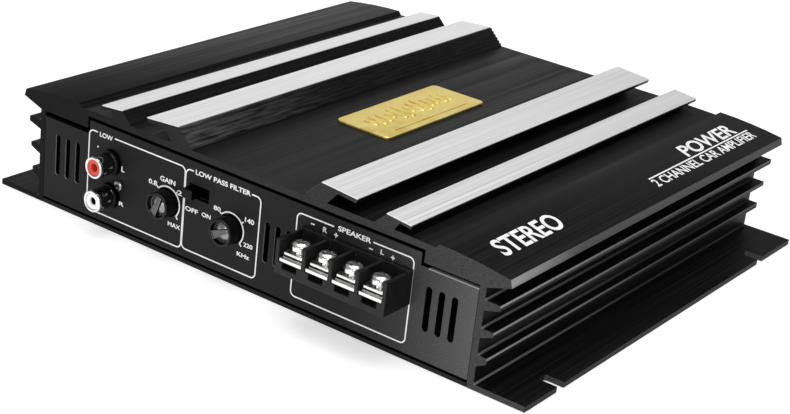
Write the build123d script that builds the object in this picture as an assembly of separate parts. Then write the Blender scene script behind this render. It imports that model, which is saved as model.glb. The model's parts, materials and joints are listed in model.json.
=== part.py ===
"""Car audio power amplifier: an extruded heat-sink cover over a circuit board, with end panels and a flat base.

Frame, in millimetres: the origin is the middle of the underside, +Z is up, the input panel faces -Y and +X is to
the right of someone who looks at that panel. The output end (power terminals and fuses) faces +Y.
"""

import math
import os

from build123d import *

# ---------------------------------------------------------------- driving dimensions
LENGTH = 203.0                 # of the extrusion, along Y
FLANGE_HALF_WIDTH = 122.7
FLANGE_THICKNESS = 2.1
WALL_INNER = 99.8              # half the clear width between the side walls
WALL_THICKNESS = 2.5
FLOOR_TOP = 44.5               # top of the web between the ribs
WEB_UNDERSIDE = 42.0
WING_UNDERSIDE = 37.4          # under the thick shoulders beside the web
WING_INNER = 77.4
LEDGE_INNER = 93.0             # ledges that the base is screwed to
LEDGE_TOP = 5.6

SHEET = 1.6                    # thickness of the base and of both end panels
PANEL_HALF_WIDTH = 99.6
PANEL_LOW_TOP = 36.1
PANEL_HIGH_TOP = 41.1
PANEL_STEP = 76.3              # half width of the panel's raised middle
RETURN_DEPTH = 13.5            # the panel's bottom lip, which the base screws hold

BOARD_BOTTOM = 7.6
BOARD_THICKNESS = 1.6
BOARD_HALF_WIDTH = 97.6
BOARD_HALF_LENGTH = 97.5

SCREW_R = 1.45                 # M3 screws
TAPPED_R = 1.5
CLEARANCE_R = 1.7

SLOT_WIDTH = 4.5               # open mounting slots in the flanges
SLOT_END = 114.6
SLOT_FROM_CENTRE_FRONT = 79.3
SLOT_FROM_CENTRE_REAR = 73.9

VENT_WIDTH = 2.5
VENT_GROUPS = (                # first slot, pitch, bottom and top of each group of three
    (-92.7, 5.2, 13.3, 29.7),
    (11.1, 4.75, 13.5, 29.0),
    (80.8, 5.2, 13.3, 29.7),
)

JACK_X = -64.5
JACK_Z = (27.7, 14.3)          # left channel above right channel
JACK_REACH = 9.6
SHELL_R = 4.15
COLLAR_R = 4.9

KNOB_Z = 20.9
GAIN_X = -36.1
LOWPASS_X = -5.5
KNOB_R = 5.1
KNOB_HOLE_R = 5.55
KNOB_REACH = 6.0
POT_SHAFT_R = 3.0

SLIDER_WIDTH = 4.4
SLIDER_TRAVEL = 4.6
SWITCH_LEFT = -25.7
SWITCH_X = (SWITCH_LEFT, SWITCH_LEFT + SLIDER_WIDTH + SLIDER_TRAVEL + 0.5)      # window in the panel
SWITCH_Z = (26.8, 32.1)

STATION_PITCH = 11.3           # screw terminals
DIVIDER = 1.4
TERMINAL_START = 27.2
TERMINAL_DEPTH = 14.9
TERMINAL_Z = (20.6, 33.1)
BACK_WALL_TOP = 33.6
TERMINAL_SCREW_R = 1.75
PLATE_Z = 25.2
PLATE_THICKNESS = 1.2
PAD_HEIGHT = 0.5               # raised pad of a contact plate, under the wire
CLAMP_GAP = 0.8                # room that the clamp's heel keeps open above the pad
CLAMP_THICKNESS = 0.9
PAD_TOP = PLATE_Z + PLATE_THICKNESS + PAD_HEIGHT
SCREW_SEAT = PAD_TOP + CLAMP_GAP + CLAMP_THICKNESS

FUSE_PITCH = 16.0
FUSE_SIZE = (5.2, 12.0, 19.1)

FRONT = -LENGTH / 2
REAR = LENGTH / 2
PANEL_BACK = FRONT + SHEET
BOARD_TOP = BOARD_BOTTOM + BOARD_THICKNESS
SCREW_AXIS_Y = FRONT - 9.3


# ---------------------------------------------------------------- helpers
def block(x0, x1, y0, y1, z0, z1):
    """A box between two corners."""
    centre = ((x0 + x1) / 2, (y0 + y1) / 2, (z0 + z1) / 2)
    return Pos(*centre) * Box(x1 - x0, y1 - y0, z1 - z0)


def rod_x(radius, x0, x1, y, z):
    return Pos((x0 + x1) / 2, y, z) * Rot(0, 90, 0) * Cylinder(radius, x1 - x0)


def rod_y(radius, x, y0, y1, z):
    return Pos(x, (y0 + y1) / 2, z) * Rot(90, 0, 0) * Cylinder(radius, y1 - y0)


def rod_z(radius, x, y, z0, z1):
    return Pos(x, y, (z0 + z1) / 2) * Cylinder(radius, z1 - z0)


def prism(points, y0=FRONT, y1=REAR):
    """A closed outline in the XZ plane, carried along Y."""
    return prism_of(Polyline(*points, close=True), y0, y1)


def prism_of(outline, y0, y1):
    face = make_face(Plane.XZ * outline)
    return Pos(0, y0, 0) * extrude(face, y1 - y0, dir=(0, 1, 0))


def mirrored(shape):
    return shape.mirror(Plane.YZ)


def turned(shape):
    """From the input end to the output end."""
    return shape.rotate(Axis.Z, 180)


def group(shapes):
    return Compound(children=[solid for shape in shapes for solid in shape.solids()])


def capsule_cut(x, z0, z1, width, y0, y1):
    """An upright slot with round ends, through a panel."""
    radius = width / 2
    middle = block(x - radius, x + radius, y0, y1, z0 + radius, z1 - radius)
    return middle + rod_y(radius, x, y0, y1, z0 + radius) + rod_y(radius, x, y0, y1, z1 - radius)


# ---------------------------------------------------------------- extrusion
RIB_INNER = ((32.7, 51.2), (48.2, 50.0))       # lip faces that carry the wide trim strips
RIB_OUTER = ((60.4, 49.0), (70.8, 48.0))       # lip faces that carry the narrow trim strips
TRIM_THICKNESS = 0.4


def serrated_slope(foot, crest, teeth=6, height=0.45):
    """Points of a ridged slope, from its foot to its crest."""
    dx = crest[0] - foot[0]
    dz = crest[1] - foot[1]
    run = math.hypot(dx, dz)
    points = []
    for tooth in range(teeth):
        valley = tooth / teeth
        peak = (tooth + 0.7) / teeth
        points.append((foot[0] + valley * dx, foot[1] + valley * dz))
        points.append((foot[0] + peak * dx - height * dz / run, foot[1] + peak * dz + height * dx / run))
    return points


def half_outline():
    """Right half of the section, from the middle of the web's top, clockwise to the middle of its underside."""
    outer = WALL_INNER + WALL_THICKNESS
    top = [(0.0, FLOOR_TOP)]
    top += serrated_slope((25.8, FLOOR_TOP), RIB_INNER[0])
    top += [RIB_INNER[0], RIB_INNER[1], (47.7, 48.6), (39.9, 49.5), (35.7, 44.6)]
    top += [(55.8, 44.6), RIB_OUTER[0], RIB_OUTER[1], (70.7, 47.0), (66.1, 47.6), (64.1, 44.7)]
    top += [(81.2, 44.2), (82.6, 45.8)]
    nose = [(110.7, 43.2), (111.5, 40.4), (outer, WING_UNDERSIDE)]
    fins = []
    for tip, root_top, root_bottom, tip_bottom in (
        (108.3, 33.1, 29.2, 31.0),
        (107.1, 22.9, 19.2, 21.1),
        (106.0, 13.1, 8.8, 10.8),
    ):
        fins += [(outer, root_top), (tip, root_top - 0.1), (tip, tip_bottom), (outer, root_bottom)]
    foot = [(outer, FLANGE_THICKNESS), (FLANGE_HALF_WIDTH, FLANGE_THICKNESS), (FLANGE_HALF_WIDTH, 0)]
    inside = [(WALL_INNER, 0), (WALL_INNER, SHEET), (LEDGE_INNER, SHEET), (LEDGE_INNER, LEDGE_TOP)]
    inside += [(WALL_INNER, LEDGE_TOP), (WALL_INNER, WING_UNDERSIDE), (WING_INNER, WING_UNDERSIDE)]
    inside += [(WING_INNER, WEB_UNDERSIDE), (0, WEB_UNDERSIDE)]
    return top, nose + fins + foot + inside


def heatsink_half():
    before_wing, after_wing = half_outline()
    with BuildLine() as outline:
        Polyline(*before_wing)
        ThreePointArc(before_wing[-1], (96.8, 45.0), after_wing[0])
        Polyline(*after_wing)
        Line(after_wing[-1], before_wing[0])
    return prism_of(outline.line, FRONT, REAR)


def flange_slot(side, y):
    radius = SLOT_WIDTH / 2
    round_end = rod_z(radius, side * (SLOT_END + radius), y, -1, 5)
    reach = sorted((side * (SLOT_END + radius), side * (FLANGE_HALF_WIDTH + 5)))
    return round_end + block(reach[0], reach[1], y - radius, y + radius, -1, 5)


def heatsink_cover():
    half = heatsink_half()
    body = half + mirrored(half)
    for side in (-1, 1):
        ledge_x = sorted((side * WALL_INNER, side * (LEDGE_INNER - 1)))
        for end_y in ((FRONT, PANEL_BACK + 0.1), (-PANEL_BACK - 0.1, REAR)):
            body -= block(*ledge_x, *end_y, SHEET, LEDGE_TOP)      # room for the end panels
        body -= flange_slot(side, -SLOT_FROM_CENTRE_FRONT)
        body -= flange_slot(side, SLOT_FROM_CENTRE_REAR)
        for y in BASE_SIDE_SCREW_Y:
            body -= rod_z(TAPPED_R, side * BASE_SIDE_SCREW_X, y, SHEET, LEDGE_TOP)
        for y in BAR_SCREW_Y:
            span = sorted((side * WALL_INNER, side * (WALL_INNER + 4.6)))
            body -= rod_x(TAPPED_R, span[0], span[1], y, BAR_SCREW_Z)
    return body


def trim_strips(lip):
    """The strip on one rib and its mirror image on the other."""
    (x0, z0), (x1, z1) = lip
    strip = prism([(x0, z0), (x1, z1), (x1, z1 + TRIM_THICKNESS), (x0, z0 + TRIM_THICKNESS)])
    return group([strip, mirrored(strip)])


def badge_plate():
    width, length, thickness = 25.4, 65.5, 0.8
    plate = extrude(RectangleRounded(width, length, 2.4), thickness)
    return Pos(0, -2.4, FLOOR_TOP) * plate


# ---------------------------------------------------------------- base and end panels
BASE_SIDE_SCREW_X = 96.4
BASE_SIDE_SCREW_Y = (-78, -26, 26, 78)
BASE_END_SCREW_X = (-62, 0, 62)
BASE_END_SCREW_Y = REAR - 7.0
STANDOFF_X = 84.0
STANDOFF_Y = (-74, 0, 74)
COUNTERSINK_R = 2.9


def base_screw_places():
    places = [(side * BASE_SIDE_SCREW_X, y) for side in (-1, 1) for y in BASE_SIDE_SCREW_Y]
    places += [(x, end * BASE_END_SCREW_Y) for end in (-1, 1) for x in BASE_END_SCREW_X]
    return places


def base_cover():
    plate = block(-PANEL_HALF_WIDTH, PANEL_HALF_WIDTH, FRONT, REAR, 0, SHEET)
    for x, y in base_screw_places():
        plate -= rod_z(SCREW_R + 0.1, x, y, 0, SHEET)
        plate -= Pos(x, y, 0.75) * Cone(COUNTERSINK_R, SCREW_R + 0.1, 1.5)
    return plate


def base_screws():
    screws = []
    for x, y in base_screw_places():
        head = Pos(x, y, 0.75) * Cone(COUNTERSINK_R - 0.1, SCREW_R, 1.5)
        drive = Pos(x, y, 0.3) * (Box(2.6, 0.7, 0.8) + Box(0.7, 2.6, 0.8))
        length = 3.1 if abs(y) == BASE_END_SCREW_Y else 5.2
        screws.append(head + rod_z(SCREW_R, x, y, 1.5, length) - drive)
    return group(screws)


def standoffs():
    posts = []
    for side in (-1, 1):
        for y in STANDOFF_Y:
            hexagon = extrude(RegularPolygon(3.2, 6), BOARD_BOTTOM - SHEET)
            post = Pos(side * STANDOFF_X, y, SHEET) * hexagon
            posts.append(post - rod_z(TAPPED_R, side * STANDOFF_X, y, SHEET, BOARD_BOTTOM))
    return group(posts)


def board_screws():
    screws = []
    for side in (-1, 1):
        for y in STANDOFF_Y:
            x = side * STANDOFF_X
            head = rod_z(2.8, x, y, BOARD_TOP, BOARD_TOP + 2.0)
            drive = Pos(x, y, BOARD_TOP + 1.6) * (Box(3.0, 0.7, 1.2) + Box(0.7, 3.0, 1.2))
            screws.append(head + rod_z(SCREW_R, x, y, SHEET + 1, BOARD_TOP) - drive)
    return group(screws)


def end_panel():
    """The sheet common to both ends, as at the input end: an upright face and a lip along its bottom."""
    outline = [
        (-PANEL_HALF_WIDTH, SHEET),
        (PANEL_HALF_WIDTH, SHEET),
        (PANEL_HALF_WIDTH, PANEL_LOW_TOP),
        (PANEL_STEP, PANEL_LOW_TOP),
        (PANEL_STEP, PANEL_HIGH_TOP),
        (-PANEL_STEP, PANEL_HIGH_TOP),
        (-PANEL_STEP, PANEL_LOW_TOP),
        (-PANEL_HALF_WIDTH, PANEL_LOW_TOP),
    ]
    face = prism(outline, FRONT, PANEL_BACK)
    lip_half = LEDGE_INNER - 0.4
    lip = block(-lip_half, lip_half, FRONT, FRONT + RETURN_DEPTH, SHEET, 2 * SHEET)
    panel = face + lip
    bend = panel.edges().filter_by(Axis.X).group_by(Axis.Z)[0].group_by(Axis.Y)[0]
    panel = fillet(bend, SHEET * 0.9)
    for x in BASE_END_SCREW_X:
        panel -= rod_z(TAPPED_R, x, -BASE_END_SCREW_Y, SHEET, 2 * SHEET)
    return panel


def vented(panel, groups):
    for first_x, pitch, bottom, top in groups:
        for slot in range(3):
            panel -= capsule_cut(first_x + slot * pitch, bottom, top, VENT_WIDTH, FRONT - 1, PANEL_BACK + 1)
    return panel


def front_panel():
    panel = vented(end_panel(), VENT_GROUPS)
    for z in JACK_Z:
        panel -= rod_y(COLLAR_R + 0.15, JACK_X, FRONT - 1, PANEL_BACK + 1, z)
    panel -= rod_y(CLEARANCE_R, JACK_SCREW[0], FRONT - 1, PANEL_BACK + 1, JACK_SCREW[1])
    for x in (GAIN_X, LOWPASS_X):
        panel -= rod_y(KNOB_HOLE_R, x, FRONT - 1, PANEL_BACK + 1, KNOB_Z)
    panel -= block(*SWITCH_X, FRONT - 1, PANEL_BACK + 1, *SWITCH_Z)
    panel -= block(*terminal_neck(SPEAKER_STATIONS, 0.15)[:2], FRONT - 1, PANEL_BACK + 1, *NECK_HOLE_Z)
    return panel


def rear_panel():
    """Seen from the output end, in the same way as the front panel, before it is turned round."""
    panel = vented(end_panel(), (VENT_GROUPS[0], VENT_GROUPS[-1]))
    panel -= block(*terminal_neck(POWER_STATIONS, 0.15)[:2], FRONT - 1, PANEL_BACK + 1, *NECK_HOLE_Z)
    x0, x1, z0, z1 = fuse_block_outline(0.15)
    panel -= block(x0, x1, FRONT - 1, PANEL_BACK + 1, z0, z1)
    panel -= rod_y(LED_R + 0.1, LED_X, FRONT - 1, PANEL_BACK + 1, LED_Z)
    return turned(panel)


# ---------------------------------------------------------------- signal jacks
JACK_SCREW = (-59.8, 19.9)
JACK_DEPTH = 14.0


def jack_housing():
    body = block(-74.0, -54.0, PANEL_BACK, PANEL_BACK + JACK_DEPTH, BOARD_TOP, 35.5)
    for z in JACK_Z:
        body += rod_y(COLLAR_R, JACK_X, FRONT - 1.8, PANEL_BACK, z)
        body -= rod_y(SHELL_R, JACK_X, FRONT - 3, PANEL_BACK + 8.0, z)
    body -= rod_y(SCREW_R + 0.05, JACK_SCREW[0], PANEL_BACK, PANEL_BACK + 9.0, JACK_SCREW[1])
    return body


def jack_shells():
    shells = []
    for z in JACK_Z:
        outside = rod_y(SHELL_R, JACK_X, FRONT - JACK_REACH, PANEL_BACK + 8.0, z)
        inside = rod_y(SHELL_R - 0.4, JACK_X, FRONT - JACK_REACH, PANEL_BACK + 7.0, z)
        shells.append(outside - inside - rod_y(1.0, JACK_X, PANEL_BACK + 7.0, PANEL_BACK + 8.0, z))
    return group(shells)


def jack_insulator(z):
    outside = rod_y(SHELL_R - 0.4, JACK_X, FRONT - JACK_REACH + 0.3, PANEL_BACK + 7.0, z)
    return outside - rod_y(1.9, JACK_X, FRONT - JACK_REACH - 1, PANEL_BACK + 7.0, z)


def jack_contacts():
    tubes = []
    for z in JACK_Z:
        tube = rod_y(1.9, JACK_X, FRONT - 4.0, PANEL_BACK + 7.0, z)
        tubes.append(tube - rod_y(1.6, JACK_X, FRONT - 5, PANEL_BACK + 6.0, z))
    return group(tubes)


def jack_screw():
    x, z = JACK_SCREW
    head = rod_y(2.0, x, FRONT - 1.5, FRONT, z)
    crown = head.edges().group_by(Axis.Y)[0]
    head = fillet(crown, 0.7)
    drive = Pos(x, FRONT - 1.3, z) * (Box(2.6, 1.4, 0.6) + Box(0.6, 1.4, 2.6))
    return head + rod_y(SCREW_R, x, FRONT, PANEL_BACK + 7.0, z) - drive


# ---------------------------------------------------------------- controls
def pot_body(x):
    case = block(x - 8.0, x + 8.0, PANEL_BACK + 1.6, PANEL_BACK + 9.0, KNOB_Z - 7.5, KNOB_Z + 7.5)
    bush = rod_y(POT_SHAFT_R + 1.0, x, PANEL_BACK + 0.4, PANEL_BACK + 1.6, KNOB_Z)
    body = case + bush
    for leg_x in (-5, 0, 5):
        y = PANEL_BACK + 6.0
        body += block(x + leg_x - 0.6, x + leg_x + 0.6, y, y + 0.8, BOARD_TOP, KNOB_Z - 7.5)
    return body - rod_y(POT_SHAFT_R + 0.05, x, PANEL_BACK, PANEL_BACK + 7.0, KNOB_Z)


def pot_shaft(x):
    return rod_y(POT_SHAFT_R, x, FRONT - 3.4, PANEL_BACK + 6.8, KNOB_Z)


def knob(x, pointer_angle):
    """A round knob, dished inside its rim, with a tapered grip across it.

    The narrow end of the grip points at pointer_angle, counted clockwise from up.
    """
    face = FRONT - KNOB_REACH
    dish = face + 1.3
    body = rod_y(KNOB_R, x, face, PANEL_BACK - 0.6, KNOB_Z)
    body = fillet(body.edges().group_by(Axis.Y)[0], 0.5)
    body -= rod_y(KNOB_R - 0.8, x, face - 1, dish, KNOB_Z)
    wedge = Polyline((-0.6, 4.4), (0.6, 4.4), (1.7, -4.1), (-1.7, -4.1), close=True)
    grip = extrude(make_face(Plane.XZ * wedge), 1.3, dir=(0, -1, 0))
    grip = Pos(x, dish, KNOB_Z) * Rot(0, pointer_angle, 0) * grip
    return body + grip - rod_y(POT_SHAFT_R, x, FRONT - 3.4, PANEL_BACK, KNOB_Z)


def switch_body():
    x0, x1 = SWITCH_X
    z0, z1 = SWITCH_Z
    case = block(x0 - 2.2, x1 + 2.2, PANEL_BACK, PANEL_BACK + 7.0, z0 - 2.0, z1 + 2.0)
    for leg_x in (x0 + 1, (x0 + x1) / 2, x1 - 1):
        case += block(leg_x - 0.5, leg_x + 0.5, PANEL_BACK + 3, PANEL_BACK + 3.8, BOARD_TOP, z0 - 2.0)
    return case - block(x0 - 0.4, x1 + 0.4, PANEL_BACK, PANEL_BACK + 3.2, z0 + 0.3, z1 - 0.3)


def switch_slider():
    x0 = SWITCH_X[0] + 0.2
    z0, z1 = SWITCH_Z
    foot = block(x0, x0 + SLIDER_WIDTH, PANEL_BACK + 0.1, PANEL_BACK + 3.1, z0 + 0.4, z1 - 0.4)
    stem = block(x0, x0 + SLIDER_WIDTH, FRONT - 4.0, PANEL_BACK + 0.1, z0 + 0.8, z1 - 0.8)
    return foot + stem


# ---------------------------------------------------------------- screw terminals
SPEAKER_STATIONS = 4
POWER_STATIONS = 3
NECK_Z = (22.0, 33.4)
NECK_HOLE_Z = (NECK_Z[0] - 0.15, NECK_Z[1] + 0.15)
NECK_DEPTH = 12.0


def station_x(number):
    return TERMINAL_START + DIVIDER / 2 + (number + 0.5) * STATION_PITCH


def terminal_neck(stations, gap=0.0):
    """Span of the part of the block that goes through the panel."""
    end = TERMINAL_START + stations * STATION_PITCH + DIVIDER
    return TERMINAL_START + 1.8 - gap, end - 1.8 + gap


def terminal_block(stations):
    end = TERMINAL_START + stations * STATION_PITCH + DIVIDER
    front = FRONT - TERMINAL_DEPTH
    bottom, top = TERMINAL_Z
    body = block(TERMINAL_START, end, front, FRONT, bottom, PLATE_Z)
    body += block(TERMINAL_START, end, FRONT - 2.0, FRONT, PLATE_Z, BACK_WALL_TOP)
    x0, x1 = terminal_neck(stations)
    body += block(x0, x1, FRONT, FRONT + NECK_DEPTH, *NECK_Z)
    for wall in range(stations + 1):
        x = TERMINAL_START + wall * STATION_PITCH
        body += block(x, x + DIVIDER, front, FRONT, PLATE_Z, top)
    for number in range(stations):
        x = station_x(number)
        body -= block(x - 3.1, x + 3.1, front, FRONT - 5.5, bottom + 2.2, PLATE_Z)
        tail_top = PLATE_Z + PLATE_THICKNESS
        body -= block(x - 2.05, x + 2.05, FRONT - 2.0, FRONT + NECK_DEPTH, PLATE_Z, tail_top)
    return body


def contact_plates(stations):
    plates = []
    for number in range(stations):
        x = station_x(number)
        top = PLATE_Z + PLATE_THICKNESS
        plate = block(x - 4.7, x + 4.7, FRONT - TERMINAL_DEPTH + 0.3, FRONT - 2.0, PLATE_Z, top)
        plate += block(x - 2, x + 2, FRONT - 2.0, FRONT + NECK_DEPTH + 1.2, PLATE_Z, top)
        plate += block(x - 2, x + 2, FRONT + NECK_DEPTH, FRONT + NECK_DEPTH + 1.2, BOARD_TOP, top)
        plate += block(x - 4.2, x + 4.2, SCREW_AXIS_Y - 4.2, SCREW_AXIS_Y + 4.2, top, PAD_TOP)
        plates.append(plate - rod_z(TERMINAL_SCREW_R + 0.05, x, SCREW_AXIS_Y, PLATE_Z - 1, PAD_TOP + 1))
    return group(plates)


def wire_clamp(number):
    """The square washer that the screw presses on the wire. Its heel, turned down at the back, stands on the pad."""
    x = station_x(number)
    z0 = PAD_TOP + CLAMP_GAP
    washer = block(x - 4.2, x + 4.2, SCREW_AXIS_Y - 4.2, SCREW_AXIS_Y + 4.2, z0, SCREW_SEAT)
    washer += block(x - 4.2, x + 4.2, SCREW_AXIS_Y + 2.9, SCREW_AXIS_Y + 4.2, PAD_TOP, z0)
    return washer - rod_z(TERMINAL_SCREW_R + 0.05, x, SCREW_AXIS_Y, z0 - 1, SCREW_SEAT + 1)


def terminal_screw(number):
    """Pan-head screw and the spring washer that stays on it."""
    x = station_x(number)
    seat = SCREW_SEAT
    washer = rod_z(3.1, x, SCREW_AXIS_Y, seat, seat + 0.9) - rod_z(1.8, x, SCREW_AXIS_Y, seat - 1, seat + 2)
    head = rod_z(3.5, x, SCREW_AXIS_Y, seat + 0.9, seat + 3.9)
    head = fillet(head.edges().group_by(Axis.Z)[-1], 1.1)
    recess = Pos(x, SCREW_AXIS_Y, seat + 3.4) * (Box(8, 1.1, 1.8) + Box(1.1, 4.4, 1.8))
    shaft = rod_z(TERMINAL_SCREW_R, x, SCREW_AXIS_Y, PLATE_Z - 2.2, seat + 0.9)
    return group([head + shaft - recess, washer])


# ---------------------------------------------------------------- fuses and power light
FUSE_CENTRE_X = -22.0
FUSE_CENTRE_Z = 22.5
LED_X, LED_Z, LED_R = -56.0, 22.5, 2.5


def fuse_block_outline(gap=0.0):
    half_x = FUSE_PITCH / 2 + 5.0 + gap
    half_z = FUSE_SIZE[2] / 2 + 1.6 + gap
    return FUSE_CENTRE_X - half_x, FUSE_CENTRE_X + half_x, FUSE_CENTRE_Z - half_z, FUSE_CENTRE_Z + half_z


def fuse_x(number):
    return FUSE_CENTRE_X + (number - 0.5) * FUSE_PITCH


def blade_boxes(number, gap, y0, y1):
    x = fuse_x(number)
    boxes = []
    for side in (-1, 1):
        z = FUSE_CENTRE_Z + side * 6.0
        boxes.append(block(x - 0.35 - gap, x + 0.35 + gap, y0, y1, z - 2.6 - gap, z + 2.6 + gap))
    return boxes


def fuse_holder():
    x0, x1, z0, z1 = fuse_block_outline()
    body = block(x0, x1, FRONT - 4.0, FRONT + 12.0, z0, z1)
    foot_z = (BOARD_TOP, z0)
    body += block(x0 + 4, x1 - 4, FRONT + 4.0, FRONT + 12.0, *foot_z)
    for number in range(2):
        for slot in blade_boxes(number, 0.08, FRONT - 5.0, FRONT + 5.0):
            body -= slot
    return turned(body)


def fuse_cap(number):
    thick, reach, tall = FUSE_SIZE
    x = fuse_x(number)
    front = FRONT - 4.0
    half_z = tall / 2
    cap = block(x - thick / 2, x + thick / 2, front - reach, front, FUSE_CENTRE_Z - half_z, FUSE_CENTRE_Z + half_z)
    cap = chamfer(cap.edges().group_by(Axis.Y)[0], 0.6)
    waist = block(x - 1.5, x + 1.5, front - reach - 1, front - 4.0, FUSE_CENTRE_Z - 5.5, FUSE_CENTRE_Z + 5.5)
    return turned(cap - waist)


def fuse_blades(number):
    front = FRONT - 4.0
    return turned(group(blade_boxes(number, 0.0, front, front + 7.5)))


def power_light():
    lens = rod_y(LED_R, LED_X, FRONT - 1.2, PANEL_BACK + 4.0, LED_Z)
    lens = fillet(lens.edges().group_by(Axis.Y)[0], 1.1)
    rim = rod_y(LED_R + 0.5, LED_X, PANEL_BACK, PANEL_BACK + 1.0, LED_Z)
    body = lens + rim
    for lead_x in (-1.3, 1.3):
        y = PANEL_BACK + 2.5
        body += block(LED_X + lead_x - 0.3, LED_X + lead_x + 0.3, y, y + 0.6, BOARD_TOP, LED_Z)
    return turned(body)


# ---------------------------------------------------------------- electronics
BAR_SCREW_Y = (-40.0, -20.0, 0.0, 20.0, 40.0)
BAR_SCREW_Z = 21.0
TRANSISTOR_Y = (-30.0, -10.0, 10.0, 30.0)
PAD_THICKNESS = 0.3
TRANSISTOR_THICKNESS = 4.8
BAR_THICKNESS = 3.0


def circuit_board():
    board = block(
        -BOARD_HALF_WIDTH, BOARD_HALF_WIDTH, -BOARD_HALF_LENGTH, BOARD_HALF_LENGTH, BOARD_BOTTOM, BOARD_TOP
    )
    for side in (-1, 1):
        for y in STANDOFF_Y:
            board -= rod_z(CLEARANCE_R, side * STANDOFF_X, y, BOARD_BOTTOM, BOARD_TOP)
    return board


def wall_span(side, near, far):
    """X limits of a layer on the inside of a side wall, near and far from it."""
    return sorted((side * (WALL_INNER - near), side * (WALL_INNER - far)))


def insulating_pads():
    pads = []
    for side in (-1, 1):
        x0, x1 = wall_span(side, 0, PAD_THICKNESS)
        for y in TRANSISTOR_Y:
            pads.append(block(x0, x1, y - 8.4, y + 8.4, 13.0, 35.0))
    return group(pads)


def output_transistors():
    cases = []
    for side in (-1, 1):
        x0, x1 = wall_span(side, PAD_THICKNESS, PAD_THICKNESS + TRANSISTOR_THICKNESS)
        leg_x = sorted((side * (WALL_INNER - 3.4), side * (WALL_INNER - 4.0)))
        for y in TRANSISTOR_Y:
            case = block(x0, x1, y - 7.8, y + 7.8, 14.5, 33.5)
            for lead in (-5.45, 0, 5.45):
                case += block(*leg_x, y + lead - 0.6, y + lead + 0.6, BOARD_TOP, 14.5)
            cases.append(case)
    return group(cases)


def clamp_bar(side):
    near = PAD_THICKNESS + TRANSISTOR_THICKNESS
    x0, x1 = wall_span(side, near, near + BAR_THICKNESS)
    bar = block(x0, x1, -45, 45, 16.5, 25.5)
    for y in BAR_SCREW_Y:
        bar -= rod_x(CLEARANCE_R, x0, x1, y, BAR_SCREW_Z)
    return bar


def bar_screws():
    screws = []
    near = PAD_THICKNESS + TRANSISTOR_THICKNESS + BAR_THICKNESS
    for side in (-1, 1):
        head_x = wall_span(side, near, near + 2.0)
        shaft_x = sorted((side * (WALL_INNER - near), side * (WALL_INNER + 4.0)))
        for y in BAR_SCREW_Y:
            screws.append(rod_x(2.8, *head_x, y, BAR_SCREW_Z) + rod_x(SCREW_R, *shaft_x, y, BAR_SCREW_Z))
    return group(screws)


TOROID = (42.0, 46.0)


def ring(radius_in, radius_out, z0, z1):
    x, y = TOROID
    return rod_z(radius_out, x, y, z0, z1) - rod_z(radius_in, x, y, z0 - 1, z1 + 1)


def toroid_core():
    return ring(11.0, 20.0, BOARD_TOP + 2.0, BOARD_TOP + 16.0)


def toroid_winding():
    return ring(9.0, 22.0, BOARD_TOP, BOARD_TOP + 18.0) - toroid_core()


def reservoir_capacitors():
    return group([
        rod_z(9.0, x, y, BOARD_TOP, BOARD_TOP + 29.0)
        for x in (-34.0, -12.0)
        for y in (38.0, 60.0)
    ])


def small_capacitors():
    places = [(-46, -60), (-46, -46), (-20, -60), (-20, -46), (4, -60), (4, -46), (30, -56), (48, -56)]
    return group([rod_z(3.2, x, y, BOARD_TOP, BOARD_TOP + 11.0) for x, y in places])


def output_chokes():
    return group([rod_z(6.5, x, -30.0, BOARD_TOP, BOARD_TOP + 14.0) for x in (34.0, 56.0)])


def integrated_circuits():
    chips = []
    for x, y in ((-34, -52), (-8, -52), (-8, -10), (16, -10)):
        chips.append(block(x - 4.8, x + 4.8, y - 3.2, y + 3.2, BOARD_TOP, BOARD_TOP + 3.6))
    return group(chips)


def switching_transistors():
    """The four tab packages that drive the transformer, stood up on a small bracket."""
    return group([
        block(x - 5.0, x + 5.0, 78.0, 82.6, BOARD_TOP, BOARD_TOP + 17.0)
        for x in (-2.0, 12.0, 26.0, 40.0)
    ])


def transistor_bracket():
    wall = block(-9.0, 47.0, 76.0, 78.0, BOARD_TOP, BOARD_TOP + 20.0)
    return wall + block(-9.0, 47.0, 70.0, 76.0, BOARD_TOP, BOARD_TOP + 2.0)


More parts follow.
